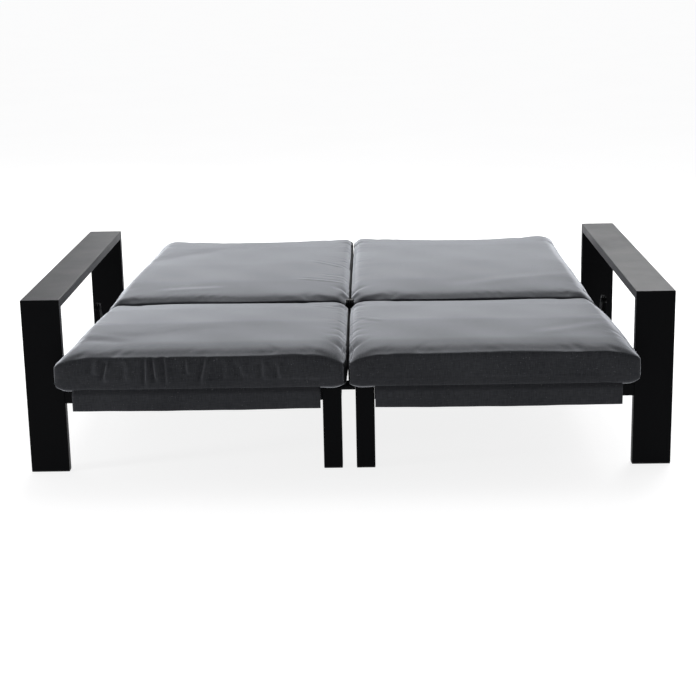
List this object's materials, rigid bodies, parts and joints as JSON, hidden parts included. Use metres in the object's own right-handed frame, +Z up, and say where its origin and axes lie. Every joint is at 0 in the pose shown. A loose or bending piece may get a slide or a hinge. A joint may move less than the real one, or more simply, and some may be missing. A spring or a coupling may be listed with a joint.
{
  "type": "futon sofa bed",
  "caption": "Futon sofa bed of two mirrored modules with open flat-tube arms, slim inner legs, and cushioned backs that fold from flat to upright.",
  "frame": {"origin": "centre of the bounding box at floor level", "axes": "+X across the width to the right, +Y from the front to the rear, +Z up"},
  "size_m": [1.84, 1.59, 0.51],
  "materials": {
    "frame_paint": "matte",
    "hinge_steel": "satin",
    "glide_plastic": "matte",
    "cushion_fabric": "matte"
  },
  "bodies": {
    "base": {"left_arm_front_leg": "frame_paint", "left_arm_rear_leg": "frame_paint", "left_arm_top_rail": "frame_paint", "left_slim_front_leg": "frame_paint", "left_slim_rear_leg": "frame_paint", "left_front_rail": "frame_paint", "left_rear_rail": "frame_paint", "left_outer_side_rail": "frame_paint", "left_inner_side_rail": "frame_paint", "left_seat_grid": "frame_paint", "left_arm_front_glide": "glide_plastic", "left_arm_rear_glide": "glide_plastic", "left_slim_front_glide": "glide_plastic", "left_slim_rear_glide": "glide_plastic", "left_outer_hinge_plate": "hinge_steel", "left_inner_hinge_plate": "hinge_steel", "left_outer_hinge_pin": "hinge_steel", "left_inner_hinge_pin": "hinge_steel", "left_seat_cushion": "cushion_fabric", "left_front_flap": "cushion_fabric", "right_arm_front_leg": "frame_paint", "right_arm_rear_leg": "frame_paint", "right_arm_top_rail": "frame_paint", "right_slim_front_leg": "frame_paint", "right_slim_rear_leg": "frame_paint", "right_front_rail": "frame_paint", "right_rear_rail": "frame_paint", "right_outer_side_rail": "frame_paint", "right_inner_side_rail": "frame_paint", "right_seat_grid": "frame_paint", "right_arm_front_glide": "glide_plastic", "right_arm_rear_glide": "glide_plastic", "right_slim_front_glide": "glide_plastic", "right_slim_rear_glide": "glide_plastic", "right_outer_hinge_plate": "hinge_steel", "right_inner_hinge_plate": "hinge_steel", "right_outer_hinge_pin": "hinge_steel", "right_inner_hinge_pin": "hinge_steel", "right_seat_cushion": "cushion_fabric", "right_front_flap": "cushion_fabric", "link_plate_front": "hinge_steel", "link_plate_rear": "hinge_steel"},
    "left_back": {"left_back_foot_bar": "frame_paint", "left_back_outer_side_bar": "frame_paint", "left_back_inner_side_bar": "frame_paint", "left_back_head_bar": "frame_paint", "left_back_grid": "frame_paint", "left_outer_recliner_plate": "hinge_steel", "left_inner_recliner_plate": "hinge_steel", "left_back_cushion": "cushion_fabric"},
    "right_back": {"right_back_foot_bar": "frame_paint", "right_back_outer_side_bar": "frame_paint", "right_back_inner_side_bar": "frame_paint", "right_back_head_bar": "frame_paint", "right_back_grid": "frame_paint", "right_outer_recliner_plate": "hinge_steel", "right_inner_recliner_plate": "hinge_steel", "right_back_cushion": "cushion_fabric"}
  },
  "joints": [
    {"name": "left_back_fold", "type": "hinge", "parent": "base", "child": "left_back", "pos_m": [-0.405, -0.15, 0.352], "axis": [1, 0, 0], "range_deg": [0, 72]},
    {"name": "right_back_fold", "type": "hinge", "parent": "base", "child": "right_back", "pos_m": [0.405, -0.15, 0.352], "axis": [1, 0, 0], "range_deg": [0, 72]}
  ]
}
